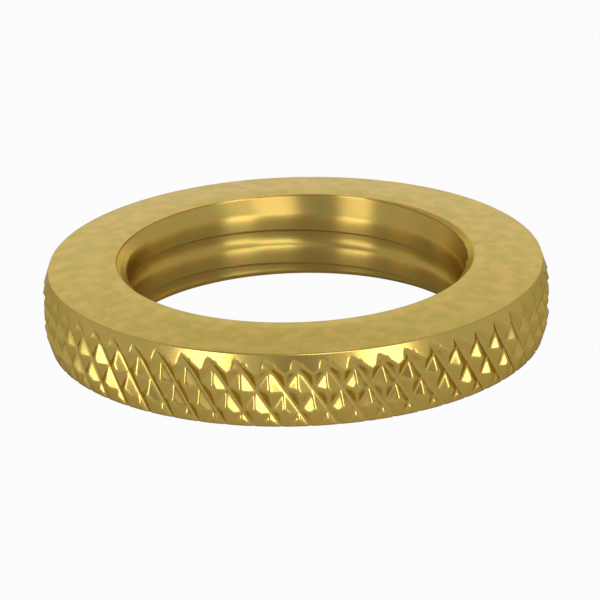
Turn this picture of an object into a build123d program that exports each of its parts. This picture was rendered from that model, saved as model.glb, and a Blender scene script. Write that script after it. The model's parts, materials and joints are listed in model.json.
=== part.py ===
from build123d import *
import os
from math import ceil, cos, pi, radians, tan

# A knurled ring nut, turned from brass bar in one piece.  It is a flat ring
# with a tapped bore.  Each face is flat beside the bore and then falls slightly
# to the rim, the bore is countersunk on both sides, and the rim carries rows of
# raised diamonds for the fingers.  The origin is the middle of the underside, on the
# axis of the thread, with +Z along that axis.

# Driving dimensions, in millimetres and degrees.
outer_diameter = 14.0      # over the tips of the diamonds
thickness = 2.4            # from face to face, beside the bore
seat_width = 0.4           # flat part of each face, outside the countersink
face_fall = 0.16           # each face then drops this far to the rim
thread_diameter = 10.0     # nominal outer diameter of the tapped thread
thread_depth = 0.3         # from there in to the flat tips of its turns
countersink_width = 0.25   # of each countersink, outwards from the bore
countersink_angle = 90.0   # full angle of the countersinking tool
bevel_width = 0.17         # the rim leans inwards by this much at each face
bevel_height = 0.55        # and starts to lean at this height from the face's edge
diamonds_around = 56
knurl_angle = 32.0         # between a groove of the knurl and the axis
knurl_depth = 0.2
tip_share = 0.12           # flat tip of a ridge, as a share of the space between grooves
plain_edge = 0.25          # height of rim left smooth below the upper face
groove_run_out = 0.25      # height over which the grooves then reach full depth

# The bore is made to the size of the thread's tips.
bore_radius = thread_diameter / 2 - thread_depth
countersink_radius = bore_radius + countersink_width
countersink_depth = countersink_width / tan(radians(countersink_angle / 2))

outer_radius = outer_diameter / 2
groove_radius = outer_radius - knurl_depth
rim_half_height = thickness / 2 - face_fall

# Spacing of the diamonds round the rim, up the rim, and square to a groove.
pitch_around = 2 * pi * groove_radius / diamonds_around
pitch_up = pitch_around / tan(radians(knurl_angle))
pitch_across = pitch_around * cos(radians(knurl_angle))

# Each diamond reaches this far below the grooves, so that its sides run on
# into its neighbours and into the ring.
rooting = knurl_depth / 4


def turned_blank():
    """The ring as it leaves the lathe: its section, revolved about the axis."""
    upper_points = [
        (bore_radius, thickness / 2 - countersink_depth),
        (countersink_radius, thickness / 2),
        (countersink_radius + seat_width, thickness / 2),
        (outer_radius - bevel_width, rim_half_height),
        (outer_radius, rim_half_height - bevel_height),
    ]
    lower_points = [(radius, -height) for radius, height in reversed(upper_points)]
    section = make_face(Plane.XZ * Polyline(*upper_points, *lower_points, close=True))
    return revolve(section, axis=Axis.Z)


def plain_rim_edge():
    """The blank's upper edge, which the grooves don't reach, with their run-out below it."""
    start = rim_half_height - plain_edge
    start_radius = outer_radius - bevel_width * (1 - plain_edge / bevel_height)
    profile = Polyline(
        (bore_radius, start - groove_run_out),
        (groove_radius, start - groove_run_out),
        (start_radius, start),
        (outer_radius, start),
        (outer_radius, thickness),
        (bore_radius, thickness),
        close=True,
    )
    return turned_blank() & revolve(make_face(Plane.XZ * profile), axis=Axis.Z)


def ridge(angle):
    """A straight ridge with sloping sides on the +X side of the rim, leaning by angle."""
    tip = tip_share * pitch_across
    foot = tip + (pitch_across - tip) * (knurl_depth + rooting) / knurl_depth
    section = make_face(
        Polyline(
            (groove_radius - rooting, -foot / 2),
            (outer_radius, -tip / 2),
            (outer_radius, tip / 2),
            (groove_radius - rooting, foot / 2),
            close=True,
        )
    )
    return Rot(angle, 0, 0) * extrude(section, pitch_up, both=True)


def knurl():
    """Rows of diamonds, each row turned by half a diamond from the row below it.

    A diamond is what two crossing ridges have in common.
    """
    diamond = ridge(knurl_angle) & ridge(-knurl_angle)
    row_height = pitch_up / 2
    rows_each_way = ceil(rim_half_height / row_height)
    step = 360 / diamonds_around
    return [
        Rot(0, 0, (place + row % 2 / 2) * step) * Pos(0, 0, row * row_height) * diamond
        for row in range(-rows_each_way, rows_each_way + 1)
        for place in range(diamonds_around)
    ]


blank = turned_blank()
grooved_to_depth = blank & Cylinder(groove_radius - rooting / 2, thickness)
nut = (grooved_to_depth + plain_rim_edge()).fuse(*knurl()) & blank
nut = Pos(0, 0, thickness / 2) * nut

os.makedirs("parts", exist_ok=True)
export_step(nut, "parts/knurled_nut.step")
print("knurled_nut", round(nut.volume, 2), "mm3")
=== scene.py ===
import json
import bpy
import numpy as np
from math import cos, pi, radians, sin, tan
from mathutils import Matrix, Vector


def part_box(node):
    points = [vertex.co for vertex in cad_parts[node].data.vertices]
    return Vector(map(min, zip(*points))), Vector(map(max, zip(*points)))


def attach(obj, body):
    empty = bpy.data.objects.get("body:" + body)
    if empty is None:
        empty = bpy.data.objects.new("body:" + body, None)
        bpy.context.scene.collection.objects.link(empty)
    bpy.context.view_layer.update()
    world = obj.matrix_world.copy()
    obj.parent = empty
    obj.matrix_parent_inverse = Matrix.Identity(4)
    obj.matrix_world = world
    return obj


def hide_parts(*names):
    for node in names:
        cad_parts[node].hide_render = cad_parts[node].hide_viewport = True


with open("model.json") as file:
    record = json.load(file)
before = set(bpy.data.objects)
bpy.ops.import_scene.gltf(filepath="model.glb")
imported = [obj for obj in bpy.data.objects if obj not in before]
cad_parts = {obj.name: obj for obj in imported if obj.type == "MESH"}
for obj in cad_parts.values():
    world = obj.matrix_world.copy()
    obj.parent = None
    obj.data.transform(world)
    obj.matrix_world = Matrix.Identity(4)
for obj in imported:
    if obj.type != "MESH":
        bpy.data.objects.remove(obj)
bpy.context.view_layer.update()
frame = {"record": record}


# ---------------------------------------------------------------------------
# The nut.  One piece, turned, knurled and tapped from brass bar.  Its faces are
# left satin, and the rim and the bore are bright.  It is a closed net of rings,
# up the rim, inwards over the upper face, down the bore and out under the nut.

low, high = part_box("knurled_nut")
outer_radius = (high[0] - low[0]) / 2
thickness = high[2] - low[2]
mounts = {mount["name"]: mount for mount in frame["record"]["mounts"]}
bore_radius = mounts["thread"]["dims"]["r_mm"] / 1000

# Sizes in metres, unless a share is meant.
countersink_width = 0.00025
countersink_slope = tan(radians(45))   # outwards for each metre upwards
mouth_land = 0.00004                   # upright edge above the opening where no turn is cut
seat_width = 0.0004                    # level part of a face, outside the countersink
face_fall = 0.00016                    # from there down to the rim
bevel_width = 0.00017                  # how far the rim leans inwards at each face
bevel_height = 0.00055
thread_pitch = 0.001
thread_edge = bore_radius + 0.00001    # radius of a turn's upper edge
thread_start = 0.0007                  # and its height on the +X side
thread_top = 0.0017                    # height of that edge where the uppermost groove begins
thread_nose = 0.000084                 # below the edge a turn still swells inwards by this much
nose_fade = 0.14                       # and does so within about this share of the pitch
groove_start, groove_root = 0.5, 0.6   # shares of the pitch below the edge
groove_depth = 0.00012                 # outwards from the edge
flank_hollow = 3.3                     # above 1 the lower flank of the groove is hollow
diamonds_around = 56
knurl_angle = radians(32)
knurl_depth = 0.0002
groove_gap = 0.2                       # share of the depth by which one direction is less deep
groove_softness = 0.1                  # rounding, as shares of the way from groove to tip
ridge_softness = 0.035
tip_cut = 1.22                         # how much higher the diamonds would be with points
plain_edge = 0.00018                   # rim left smooth below the upper face
groove_run_out = 0.0004                # height over which the grooves then reach full depth
lowest_diamond = 0.93                  # share of the full height
slope_range = 0.86, 1.18               # least and greatest slope of a diamond's sides
seat_corner = 0.00003                  # half the width of the soft corner where the seat ends
mouth_corner = 0.000015                # width of the one outside the opening
cells = 22                             # of the net, from one diamond to the next
half_diamond = cells // 2
columns = diamonds_around * cells      # of the net, round the rim
bore_columns = columns // 4
bore_rows = 130

countersink_radius = bore_radius + countersink_width
seat_radius = countersink_radius + seat_width
groove_radius = outer_radius - knurl_depth
face_radius = outer_radius - bevel_width
rim_half_height = thickness / 2 - face_fall
middle = (low[2] + high[2]) / 2


def envelope_radius(height):
    """The rim before knurling: full radius, less a straight lean over the bevel height at each edge."""
    over = np.abs(height - middle) - (rim_half_height - bevel_height)
    return outer_radius - bevel_width * np.clip(over / bevel_height, 0, 1)


def groove_floor(height):
    """Radius at the bottom of the grooves: even, then rising straight to the rim's smooth upper edge."""
    start = middle + rim_half_height - plain_edge
    rise = np.clip((height - start + groove_run_out) / groove_run_out, 0, 1)
    return groove_radius + rise * (envelope_radius(start) - groove_radius)


def rounded_groove(share):
    """Height above a groove of round bottom, for the share of the way from the groove to the ridge.

    A hyperbola: it is level in the groove and becomes a straight slope.
    """
    rise = np.hypot(share, groove_softness) - groove_softness
    return rise / (np.hypot(1, groove_softness) - groove_softness)


def soft_minimum(first, second):
    """The lesser of two, with the corner between them rounded by a hyperbola."""
    return (first + second - np.hypot(first - second, ridge_softness)) / 2


def knurl_rings():
    """Radii and heights of the rim's rings.

    A diamond rises from the four grooves about it.  Its height is the lesser of
    the heights above the nearest groove of either direction, counted in cells of
    the net; the lathe's bevel then limits the radius.  One direction is cut
    less deep.  Each diamond has its own height and its own slopes, and a small
    flat in place of its point.
    """
    row_height = 2 * pi * groove_radius / diamonds_around / tan(knurl_angle) / cells
    rows = round(rim_half_height / row_height)
    column = np.arange(columns)[None, :]
    row = np.arange(-rows, rows + 1)[:, None]
    height = middle + np.clip(row * row_height, -rim_half_height, rim_half_height)
    height[0], height[-1] = middle - rim_half_height, middle + rim_half_height
    rising, falling = column + row, column - row
    diamond = tuple((way + half_diamond) // cells % diamonds_around for way in (rising, falling))
    chance = np.random.default_rng(5)
    full_height = chance.uniform(lowest_diamond, 1, (diamonds_around, diamonds_around))
    tilts = [chance.uniform(*slope_range, full_height.shape)[diamond] for _ in (rising, falling)]
    deep, shallow = [
        tilt * rounded_groove(np.abs(way % cells - half_diamond) / half_diamond)
        for way, tilt in zip((rising, falling), tilts)
    ]
    pointed = soft_minimum(deep, groove_gap + (1 - groove_gap) * shallow)
    step = np.clip(tip_cut * pointed, 0, 1)
    radius = groove_floor(height) + knurl_depth * step * full_height[diamond]
    return np.minimum(radius, envelope_radius(height)), height, rising, falling


def face_height(radius):
    """Height of the upper face above the middle: level at the seat, then falling evenly to the rim."""
    out = np.clip((radius - seat_radius) / (face_radius - seat_radius), 0, 1)
    return thickness / 2 - face_fall * out


def bore_ring_radius(angle, height):
    """Radius of the hole: the thread's, or that of a countersink where it is larger.

    The share of a pitch is counted downwards from a turn's upper edge.  The tip
    swells inwards and becomes upright, as an exponential does.  The groove
    opens straight to its root, and its lower flank comes back to the next edge
    as a power of the way gone.  Above the point where the thread begins there
    is no groove: the hole opens evenly from the edge to just below its mouth.
    """
    share = ((thread_start - (height - low[2])) / thread_pitch + angle / (2 * pi)) % 1
    tip = thread_edge - thread_nose * (1 - np.exp(-share / nose_fade))
    opening = (share - groove_start) / (groove_root - groove_start)
    gone = np.clip((share - groove_root) / (1 - groove_root), 0, 1)
    flank = thread_edge + groove_depth * (1 - gone ** flank_hollow)
    groove = np.where(opening < 1, tip + (thread_edge + groove_depth - tip) * opening, flank)
    above_edge = (1 - share) * thread_pitch
    edge_height = height - low[2] - above_edge
    to_mouth = thickness - mouth_land - edge_height
    lead = thread_edge + (countersink_radius - thread_edge) * above_edge / to_mouth
    groove = np.where(edge_height < thread_top, groove, lead)
    thread = np.where(share < groove_start, tip, groove)
    to_face = thickness / 2 - np.abs(height - middle)
    countersink = countersink_radius - to_face * countersink_slope
    return np.minimum(np.maximum(thread, countersink), countersink_radius)


def ring_points(radius, height):
    """Points of one ring or several: radius times cosine and sine of evenly spaced angles, and height."""
    angle = np.arange(radius.shape[-1]) * 2 * pi / radius.shape[-1]
    return np.stack([radius * np.cos(angle), radius * np.sin(angle), height + 0 * radius], -1)


def net_faces(first, second, falling=False):
    """Triangles between two rings of point numbers.  One ring may have twice the other's points.

    Equal rings give two triangles a cell, split along the rising diagonal, or
    along the falling one where that is asked for.
    """
    a, b = first, second
    if len(a) == len(b):
        a_next, b_next = np.roll(a, -1), np.roll(b, -1)
        pick = np.where(falling, b, b_next)
        other = np.where(falling, a_next, a)
        return np.concatenate([np.stack([a, a_next, pick], 1), np.stack([other, b_next, b], 1)])
    if len(a) > len(b):
        even, odd, even_next, b_next = a[::2], a[1::2], np.roll(a[::2], -1), np.roll(b, -1)
        fan = [(even, odd, b), (odd, b_next, b), (odd, even_next, b_next)]
    else:
        even, odd, even_next, a_next = b[::2], b[1::2], np.roll(b[::2], -1), np.roll(a, -1)
        fan = [(a, odd, even), (a, a_next, odd), (a_next, even_next, odd)]
    return np.concatenate([np.stack(corners, 1) for corners in fan])


def nut_rings():
    """The rings of the rim, the upper face, the bore and the lower face, and the cells of the rim to turn.

    A ring is an array of points.  The cells to turn split along the falling
    diagonal.  A face's rings are circles at its own height, each with as many
    points as the rim, half as many, or the bore's number.
    """
    rim_radius, rim_height, rising, falling = knurl_rings()
    rim = ring_points(rim_radius, rim_height)
    turned = (rising[:-1] + 1) % cells == half_diamond

    bore_angle = np.arange(bore_columns) * 2 * pi / bore_columns
    bore_height = np.linspace(high[2], low[2], bore_rows + 1)[:, None]
    bore_radii = bore_ring_radius(bore_angle, bore_height)
    bore = ring_points(bore_radii, bore_height)

    circles = [
        (groove_radius - 0.00001, columns),
        (groove_radius - 0.00007, columns // 2),
        (groove_radius - 0.00017, bore_columns),
        (groove_radius - 0.0006, bore_columns),
        (seat_radius + 0.00045, bore_columns),
        (seat_radius + seat_corner, bore_columns),
        (seat_radius - seat_corner, bore_columns),
        (countersink_radius + 0.00015, bore_columns),
    ]
    faces = []
    for side, mouth in ((1, bore_radii[0]), (-1, bore_radii[-1])):
        radii = [np.full(count, radius) for radius, count in circles] + [mouth + mouth_corner]
        faces.append([ring_points(r, middle + side * face_height(r)) for r in radii])
    upper, lower = faces
    return rim, upper, bore, lower[::-1], turned


def nut_mesh():
    """The nut as one closed mesh: bands of triangles from ring to ring, and from the last to the first.

    The bands of the rim have the first material, those of the faces the
    second, and those of the bore, with its upper edge, the third.
    """
    rim, upper, bore, lower, turned = nut_rings()
    rings = [*rim, *upper, *bore, *lower]
    zones = [0] * len(turned) + [1] * len(upper) + [2] * len(bore) + [1] * (len(lower) + 1)
    turns = [*turned] + [False] * (len(rings) - len(turned))
    starts = np.cumsum([0] + [len(ring) for ring in rings])
    numbers = [np.arange(start, stop) for start, stop in zip(starts, starts[1:])]
    bands = [net_faces(*pair) for pair in zip(numbers, numbers[1:] + numbers[:1], turns)]
    mesh = bpy.data.meshes.new("knurled_brass_nut")
    mesh.from_pydata(np.concatenate(rings), [], np.concatenate(bands))
    mesh.polygons.foreach_set("material_index", np.repeat(zones, [len(band) for band in bands]))
    mesh.shade_smooth()
    return mesh


def new_group(name, inputs, outputs):
    """An empty node group with the named sockets, as (group, input node, output node)."""
    group = bpy.data.node_groups.new(name, "ShaderNodeTree")
    for socket_name, kind, value in inputs:
        socket = group.interface.new_socket(socket_name, in_out="INPUT", socket_type=kind)
        socket.default_value = value
    for socket_name, kind in outputs:
        group.interface.new_socket(socket_name, in_out="OUTPUT", socket_type=kind)
    return group, group.nodes.new("NodeGroupInput"), group.nodes.new("NodeGroupOutput")


def result_of(nodes, link, operation, *values):
    """The result of one operation on two or three values, each a number or another node's output."""
    node = nodes.new("ShaderNodeMath")
    node.operation = operation
    for socket, value in zip(node.inputs, values):
        if isinstance(value, (int, float)):
            socket.default_value = value
        else:
            link(value, socket)
    return node.outputs["Value"]


def mottled_brass_group():
    """Colour: two tones mixed by coarse noise.  Roughness: a base plus a share of fine noise."""
    group, given, result = new_group(
        "mottled_brass",
        [
            ("Tone", "NodeSocketColor", (0.58, 0.43, 0.13, 1)),
            ("Warm Tone", "NodeSocketColor", (0.62, 0.40, 0.14, 1)),
            ("Roughness", "NodeSocketFloat", 0.3),
            ("Roughness Spread", "NodeSocketFloat", 0.1),
        ],
        [("Color", "NodeSocketColor"), ("Roughness", "NodeSocketFloat")],
    )
    nodes, link = group.nodes, group.links.new
    place = nodes.new("ShaderNodeTexCoord")
    coarse = nodes.new("ShaderNodeTexNoise")
    coarse.inputs["Scale"].default_value = 2200
    coarse.inputs["Detail"].default_value = 5
    link(place.outputs["Object"], coarse.inputs["Vector"])
    ramp = nodes.new("ShaderNodeMapRange")
    ramp.inputs["From Min"].default_value = 0.4
    ramp.inputs["From Max"].default_value = 0.62
    link(coarse.outputs["Fac"], ramp.inputs["Value"])
    tones = nodes.new("ShaderNodeMix")
    tones.data_type = "RGBA"
    link(ramp.outputs["Result"], tones.inputs["Factor"])
    link(given.outputs["Tone"], tones.inputs["A"])
    link(given.outputs["Warm Tone"], tones.inputs["B"])
    link(tones.outputs["Result"], result.inputs["Color"])
    fine = nodes.new("ShaderNodeTexNoise")
    fine.inputs["Scale"].default_value = 6000
    fine.inputs["Detail"].default_value = 3
    link(place.outputs["Object"], fine.inputs["Vector"])
    base, share = given.outputs["Roughness"], given.outputs["Roughness Spread"]
    rough = result_of(nodes, link, "MULTIPLY_ADD", fine.outputs["Fac"], share, base)
    link(rough, result.inputs["Roughness"])
    return group


def turning_marks_group():
    """Normal over noise that depends on the distance from the axis only, so that it forms fine rings."""
    group, given, result = new_group(
        "turning_marks",
        [("Depth", "NodeSocketFloat", 0.000002), ("Rings Per Metre", "NodeSocketFloat", 16000.0)],
        [("Normal", "NodeSocketVector")],
    )
    nodes, link = group.nodes, group.links.new
    place = nodes.new("ShaderNodeTexCoord")
    flat = nodes.new("ShaderNodeVectorMath")
    flat.operation = "MULTIPLY"
    flat.inputs[1].default_value = (1, 1, 0)
    link(place.outputs["Object"], flat.inputs[0])
    radius = nodes.new("ShaderNodeVectorMath")
    radius.operation = "LENGTH"
    link(flat.outputs["Vector"], radius.inputs[0])
    rings_per_metre = given.outputs["Rings Per Metre"]
    across = result_of(nodes, link, "MULTIPLY", radius.outputs["Value"], rings_per_metre)
    rings = nodes.new("ShaderNodeTexNoise")
    rings.noise_dimensions = "1D"
    rings.inputs["Scale"].default_value = 1
    rings.inputs["Detail"].default_value = 2
    link(across, rings.inputs["W"])
    bump = nodes.new("ShaderNodeBump")
    link(rings.outputs["Fac"], bump.inputs["Height"])
    link(given.outputs["Depth"], bump.inputs["Distance"])
    link(bump.outputs["Normal"], result.inputs["Normal"])
    return group


mottled_brass = mottled_brass_group()
turning_marks = turning_marks_group()


def brass(name, tone, warm_tone, grazing_tint, roughness, spread, mark_depth):
    """A brass made of the two groups, with its tint at grazing angles and its marks' depth in metres."""
    material = bpy.data.materials.new(name)
    material.use_nodes = True
    nodes, link = material.node_tree.nodes, material.node_tree.links.new
    shader = nodes["Principled BSDF"]
    shader.inputs["Metallic"].default_value = 1
    shader.inputs["Specular Tint"].default_value = (*grazing_tint, 1)
    colour = nodes.new("ShaderNodeGroup")
    colour.node_tree = mottled_brass
    colour.inputs["Tone"].default_value = (*tone, 1)
    colour.inputs["Warm Tone"].default_value = (*warm_tone, 1)
    colour.inputs["Roughness"].default_value = roughness
    colour.inputs["Roughness Spread"].default_value = spread
    link(colour.outputs["Color"], shader.inputs["Base Color"])
    link(colour.outputs["Roughness"], shader.inputs["Roughness"])
    marks = nodes.new("ShaderNodeGroup")
    marks.node_tree = turning_marks
    marks.inputs["Depth"].default_value = mark_depth
    link(marks.outputs["Normal"], shader.inputs["Normal"])
    return material


def run_marks_round(material):
    """Marks that run round the axis.  A mirrored light smears at right angles to them, up and down a wall."""
    nodes = material.node_tree.nodes
    shader = nodes["Principled BSDF"]
    shader.inputs["Anisotropic"].default_value = 0.9
    shader.inputs["Anisotropic Rotation"].default_value = 0.25
    around = nodes.new("ShaderNodeTangent")
    around.direction_type = "RADIAL"
    around.axis = "Z"
    material.node_tree.links.new(around.outputs["Tangent"], shader.inputs["Tangent"])


golden, pale = (0.75, 0.68, 0.45), (0.97, 0.93, 0.85)
rim_brass = brass("bright_brass", (0.58, 0.44, 0.11), (0.62, 0.42, 0.11), golden, 0.18, 0.08, 0.0000005)
face_brass = brass("satin_brass", (0.57, 0.445, 0.08), (0.70, 0.485, 0.122), pale, 0.3, 0.12, 0.000001)
bore_brass = brass("tapped_brass", (0.58, 0.44, 0.11), (0.64, 0.42, 0.11), golden, 0.3, 0.04, 0.0000005)
run_marks_round(bore_brass)

nut = bpy.data.objects.new("knurled_brass_nut", nut_mesh())
bpy.context.scene.collection.objects.link(nut)
for material in (rim_brass, face_brass, bore_brass):
    nut.data.materials.append(material)
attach(nut, "root")
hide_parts("knurled_nut")


# ---------------------------------------------------------------------------
# The studio.  A white floor, with two rounds of paper that the nut mirrors, the
# inner one grey under the bore as painted shade, and a white backdrop behind it,
# a dim room with a dark strip in front, two soft boxes at the front left and
# right, and a lamp above the camera.

def seen_or_mirrored(nodes, link):
    """1 for rays from the camera and for rays mirrored or let through by the object, else 0."""
    rays = nodes.new("ShaderNodeLightPath")
    total = rays.outputs["Is Camera Ray"]
    for name in ("Is Glossy Ray", "Is Transmission Ray"):
        total = result_of(nodes, link, "MAXIMUM", total, rays.outputs[name])
    return total


def white_material(name, glow):
    """White paper: matt, with a glow of strength 1 that is mixed in for seen and mirrored rays."""
    material = bpy.data.materials.new(name)
    material.use_nodes = True
    nodes, link = material.node_tree.nodes, material.node_tree.links.new
    nodes.remove(nodes["Principled BSDF"])
    matt = nodes.new("ShaderNodeBsdfDiffuse")
    matt.inputs["Color"].default_value = (0.8, 0.8, 0.8, 1)
    light = nodes.new("ShaderNodeEmission")
    share = result_of(nodes, link, "MULTIPLY", seen_or_mirrored(nodes, link), glow)
    mix = nodes.new("ShaderNodeMixShader")
    link(share, mix.inputs["Fac"])
    link(matt.outputs["BSDF"], mix.inputs[1])
    link(light.outputs["Emission"], mix.inputs[2])
    link(mix.outputs["Shader"], nodes["Material Output"].inputs["Surface"])
    return material


def panel(name, corners, material):
    """A flat four-cornered sheet."""
    mesh = bpy.data.meshes.new(name)
    mesh.from_pydata(corners, [], [(0, 1, 2, 3)])
    mesh.materials.append(material)
    sheet = bpy.data.objects.new(name, mesh)
    bpy.context.scene.collection.objects.link(sheet)
    return sheet


floor_height = low[2] - 0.00001
floor_corners = [(x, y, floor_height) for x, y in ((-1, -1), (1, -1), (1, 1), (-1, 1))]
floor = panel("floor", floor_corners, white_material("white_floor", 0.97))
side, back, top = 0.35, 0.5, 0.34
outline = (-side, floor_height), (side, floor_height), (side, top), (-side, top)
backdrop_corners = [(x, back, z) for x, z in outline]
backdrop = panel("backdrop", backdrop_corners, white_material("white_backdrop", 1.0))
backdrop.visible_camera = False


def matt_material(name, shade):
    """Paper that only returns the light which falls on it."""
    material = bpy.data.materials.new(name)
    material.use_nodes = True
    shader = material.node_tree.nodes["Principled BSDF"]
    shader.inputs["Base Color"].default_value = (shade, shade, shade, 1)
    shader.inputs["Roughness"].default_value = 1
    shader.inputs["Specular IOR Level"].default_value = 0
    return material


def paper_disc(name, radius, lift, shade):
    """A round of matt paper just above the floor, seen only in the nut: a circle of points, filled."""
    points = 48
    mesh = bpy.data.meshes.new(name)
    mesh.from_pydata(ring_points(np.full(points, radius), floor_height + lift), [], [range(points)])
    mesh.materials.append(matt_material(name, shade))
    paper = bpy.data.objects.new(name, mesh)
    bpy.context.scene.collection.objects.link(paper)
    paper.visible_camera = False
    return paper


paper_around = paper_disc("paper_around", 0.1, 0.000003, 0.85)
# The round under the bore takes the nut's real shadow, and its grey adds painted shade, which the tips of the
# thread mirror as dark bands.
painted_shade_paper = paper_disc("painted_shade_paper", 0.0046, 0.000006, 0.5)


def room_strength(nodes, link):
    """How bright the room is in each direction: dim, and dark in a strip that leans.

    A direction is X to the right, Y to the back and Z up, of length 1.  It is
    in the strip where both its distance from the strip's middle line and its
    way to the back are small.
    """
    lean, offset = 0.75, 0.16        # the middle line is where X + lean * Z is the offset
    inner, outer = 0.14, 0.22        # the strip fades between these distances from it
    dark, dim = 0.28, 0.6
    direction = nodes.new("ShaderNodeTexCoord")
    apart = nodes.new("ShaderNodeSeparateXYZ")
    link(direction.outputs["Generated"], apart.inputs["Vector"])
    x, y, z = apart.outputs
    leaning = result_of(nodes, link, "MULTIPLY_ADD", z, lean, x)
    aside = result_of(nodes, link, "SUBTRACT", leaning, offset)
    distance = result_of(nodes, link, "ABSOLUTE", aside)
    # Past Y = -0.13 the next is more than the inner distance, so the strip stays in front.
    backwards = result_of(nodes, link, "MULTIPLY_ADD", y, 2, 0.4)
    farther = result_of(nodes, link, "MAXIMUM", distance, backwards)
    fade = nodes.new("ShaderNodeMapRange")
    fade.interpolation_type = "SMOOTHSTEP"
    for name, value in (("From Min", inner), ("From Max", outer), ("To Min", dark), ("To Max", dim)):
        fade.inputs[name].default_value = value
    link(farther, fade.inputs["Value"])
    return fade.outputs["Result"]


def studio_world():
    """The room, which the camera itself sees as plain white."""
    world = bpy.data.worlds.new("studio")
    world.use_nodes = True
    nodes, link = world.node_tree.nodes, world.node_tree.links.new
    room = nodes["Background"]
    room.inputs["Color"].default_value = (1, 1, 1, 1)
    link(room_strength(nodes, link), room.inputs["Strength"])
    white = nodes.new("ShaderNodeBackground")
    white.inputs["Color"].default_value = (1, 1, 1, 1)
    rays = nodes.new("ShaderNodeLightPath")
    mix = nodes.new("ShaderNodeMixShader")
    link(rays.outputs["Is Camera Ray"], mix.inputs["Fac"])
    link(room.outputs["Background"], mix.inputs[1])
    link(white.outputs["Background"], mix.inputs[2])
    link(mix.outputs["Shader"], nodes["World Output"].inputs["Surface"])
    return world


bpy.context.scene.world = studio_world()

nut_centre = Vector((0, 0, middle))


def soft_box(name, azimuth, elevation, distance, width, height, brightness):
    """A rectangular lamp aimed at the nut, from so many degrees right of the front and up.

    Its power is brightness times pi times its area.
    """
    lamp = bpy.data.lights.new(name, "AREA")
    lamp.shape = "RECTANGLE"
    lamp.size, lamp.size_y = width, height
    lamp.energy = brightness * pi * width * height
    holder = bpy.data.objects.new(name, lamp)
    turn, lift = radians(azimuth), radians(elevation)
    outwards = Vector((sin(turn) * cos(lift), -cos(turn) * cos(lift), sin(lift)))
    holder.location = nut_centre + distance * outwards
    holder.rotation_euler = outwards.to_track_quat("Z", "Y").to_euler()
    bpy.context.scene.collection.objects.link(holder)


soft_box("soft_box_left", -41, 12, 0.25, 0.09, 0.1, 4)
soft_box("soft_box_right", 38, 12, 0.25, 0.09, 0.1, 4)
soft_box("upper_lamp", 15, 34, 0.3, 0.13, 0.08, 4)


# ---------------------------------------------------------------------------
# The camera.  Far away with a long lens, looking down at the nut by about 21
# degrees and very slightly turned about its own axis.

camera = bpy.data.objects.new("camera", bpy.data.cameras.new("camera"))
camera_distance = 0.15026
camera_elevation, camera_roll = 0.3716, 0.0298   # radians
camera.data.lens = 325.5
camera.data.clip_start = 0.01
camera.data.shift_x, camera.data.shift_y = 0.0062, -0.0053
camera.matrix_world = (
    Matrix.Translation(nut_centre)
    @ Matrix.Rotation(pi / 2 - camera_elevation, 4, "X")
    @ Matrix.Translation((0, 0, camera_distance))
    @ Matrix.Rotation(-camera_roll, 4, "Z")
)
bpy.context.scene.collection.objects.link(camera)
bpy.context.scene.camera = camera
bpy.context.scene.view_settings.view_transform = "Standard"
